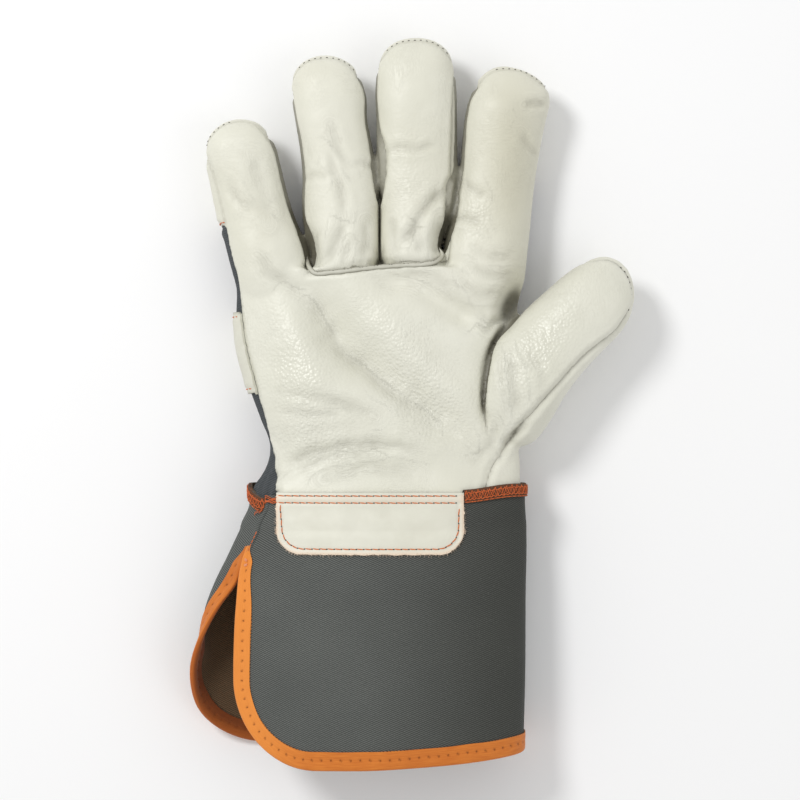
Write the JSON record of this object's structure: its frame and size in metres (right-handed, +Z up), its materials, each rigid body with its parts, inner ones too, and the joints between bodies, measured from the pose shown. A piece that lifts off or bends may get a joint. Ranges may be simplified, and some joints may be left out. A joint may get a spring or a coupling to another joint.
{
  "type": "fitters glove",
  "caption": "Right-hand leather work glove, palm up: fabric back, knuckle strap, vein patch and an open gauntlet cuff with a taped side slit.",
  "frame": {"origin": "under the middle of the glove's box, on the surface the glove lies on", "axes": "+X towards the thumb, +Y from the cuff to the fingertips, +Z up, out of the palm"},
  "size_m": [0.1994, 0.3254, 0.0575],
  "materials": {
    "leather": "cream grain leather, fine creases, satin",
    "canvas": "grey cotton canvas, matt",
    "twill": "dark grey-green twill, matt",
    "tape": "orange ribbed binding tape, matt",
    "overlock": "dense orange overlock thread over dark grey cloth"
  },
  "bodies": {
    "root": {"palm_front": "leather", "middle_ring_front": "leather", "thumb_front": "leather", "thumb_back": "leather", "fork_ring_little": "leather", "fork_middle_ring": "leather", "fork_index_middle": "leather", "tip_little": "leather", "tip_ring": "leather", "tip_middle": "leather", "tip_index": "leather", "knuckle_strap": "leather", "vein_patch": "leather", "hand_back": "canvas", "cuff": "twill", "cuff_binding": "tape", "wrist_seam": "overlock"}
  },
  "joints": []
}
